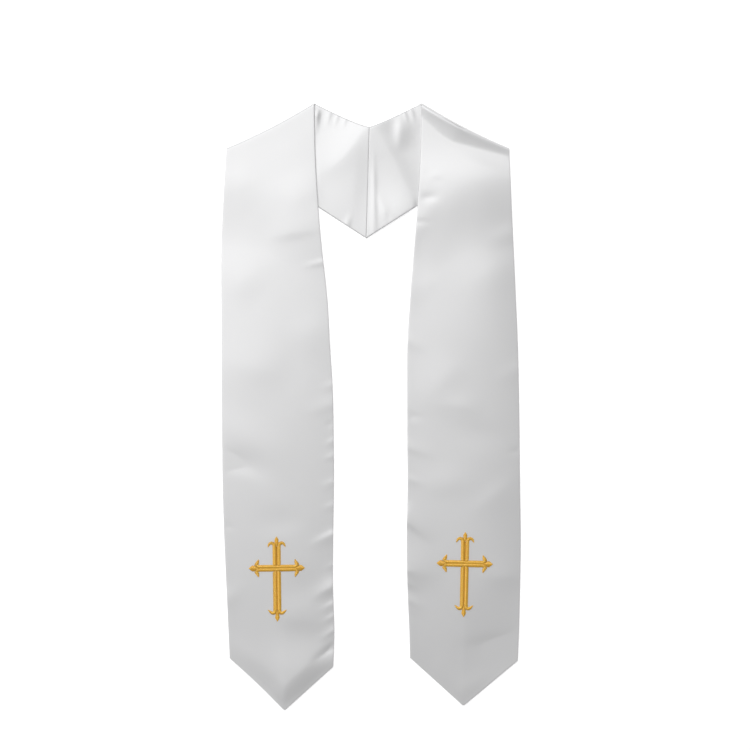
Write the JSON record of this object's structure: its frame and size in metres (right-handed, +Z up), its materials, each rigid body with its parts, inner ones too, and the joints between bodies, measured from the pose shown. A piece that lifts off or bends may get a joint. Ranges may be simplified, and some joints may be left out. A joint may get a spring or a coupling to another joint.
{
  "type": "choir stole",
  "caption": "Lined white satin choir stole with pointed ends and an embroidered gold cross on each front panel, laid flat and turned over at the shoulders.",
  "frame": {"origin": "centre of the bounding box, on the surface that the stole lies on", "axes": "+Y from the pointed ends to the shoulder folds, +X from the panel on the picture's left to the one on its right, +Z up off the surface"},
  "size_m": [0.3803, 0.7712, 0.009],
  "materials": {
    "satin": "white polyester satin, soft sheen",
    "lining_satin": "white satin lining, soft sheen",
    "gold_thread": "gold rayon machine embroidery in satin stitch"
  },
  "bodies": {
    "root": {"face_left": "satin", "face_right": "satin", "lining_left": "lining_satin", "lining_right": "lining_satin", "cross_left": "gold_thread", "cross_right": "gold_thread"}
  },
  "joints": []
}
